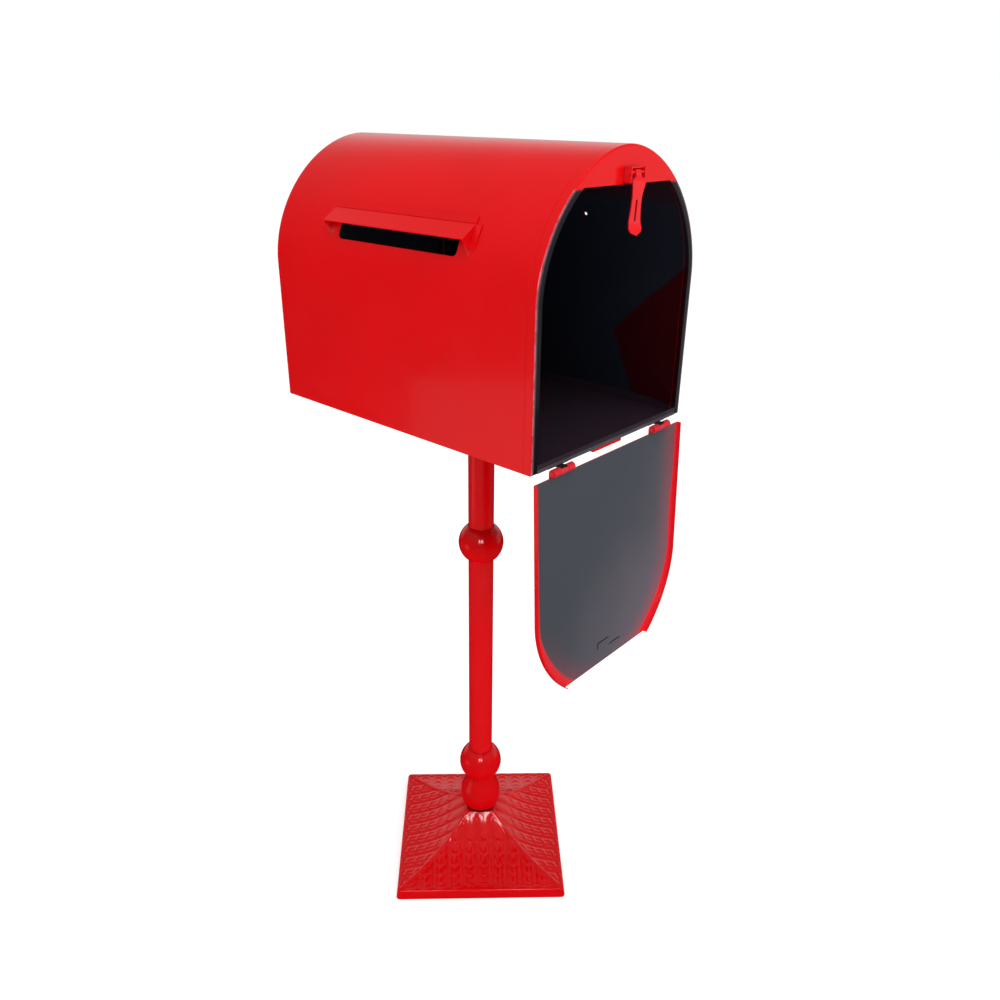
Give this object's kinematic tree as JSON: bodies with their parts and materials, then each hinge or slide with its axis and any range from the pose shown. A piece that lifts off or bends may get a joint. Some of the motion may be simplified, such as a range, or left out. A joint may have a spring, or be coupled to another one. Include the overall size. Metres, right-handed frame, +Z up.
{
  "type": "post-mounted mailbox",
  "caption": "Arched sheet-steel mailbox with a drop-down front door, hooded side letter slot and hasp, on a turned post with ball collars and a square cast foot.",
  "frame": {"origin": "on the ground under the middle of the foot, on the axis of the post", "axes": "+Z up along the post, the door faces -Y, the letter slot and its hood are on the -X side"},
  "size_m": [0.4496, 0.5497, 1.3211],
  "materials": {
    "red_enamel": "glossy red enamel on sheet steel",
    "red_casting": "glossy red enamel on a patterned iron casting",
    "door_grey": "dark grey door inside with red overspray, red enamel outside",
    "dark_interior": "near-black glossy inside paint, worn on the floor",
    "black_steel": "satin black",
    "zinc": "zinc-plated fasteners"
  },
  "bodies": {
    "box_and_post": {"front_frame": "red_enamel", "box_wrap": "red_enamel", "floor_pan": "dark_interior", "rear_panel": "red_enamel", "slot_hood": "red_enamel", "sill_tab": "red_enamel", "hinge_body_leaf_left": "black_steel", "hinge_pin_left": "black_steel", "hinge_body_leaf_right": "black_steel", "hinge_pin_right": "black_steel", "hasp_bracket": "red_enamel", "hasp_pin": "black_steel", "top_flange": "black_steel", "upper_tube": "red_enamel", "mid_collar": "red_enamel", "lower_tube": "red_enamel", "base_collar": "red_enamel", "base_casting": "red_casting", "tie_rod": "zinc", "tie_washer_top": "zinc", "tie_nut_top": "zinc", "tie_washer_bottom": "zinc", "tie_nut_bottom": "zinc", "floor_bolt_1": "zinc", "floor_washer_1": "zinc", "floor_nut_1": "zinc", "floor_bolt_2": "zinc", "floor_washer_2": "zinc", "floor_nut_2": "zinc", "floor_bolt_3": "zinc", "floor_washer_3": "zinc", "floor_nut_3": "zinc", "floor_bolt_4": "zinc", "floor_washer_4": "zinc", "floor_nut_4": "zinc"},
    "door": {"door_panel": "door_grey", "door_staple": "red_enamel", "hinge_door_leaf_left": "red_enamel", "hinge_door_leaf_right": "red_enamel"},
    "hasp": {"hasp_tongue": "red_enamel"}
  },
  "joints": [
    {"name": "door_hinge", "type": "hinge", "parent": "box_and_post", "child": "door", "pos_m": [0, -0.2605, 0.91904], "axis": [-1, 0, 0], "range_deg": [0, 177.5]},
    {"name": "hasp_hinge", "type": "hinge", "parent": "box_and_post", "child": "hasp", "pos_m": [0.002, -0.264, 1.28814], "axis": [-1, 0, 0], "range_deg": [0, 115]}
  ]
}
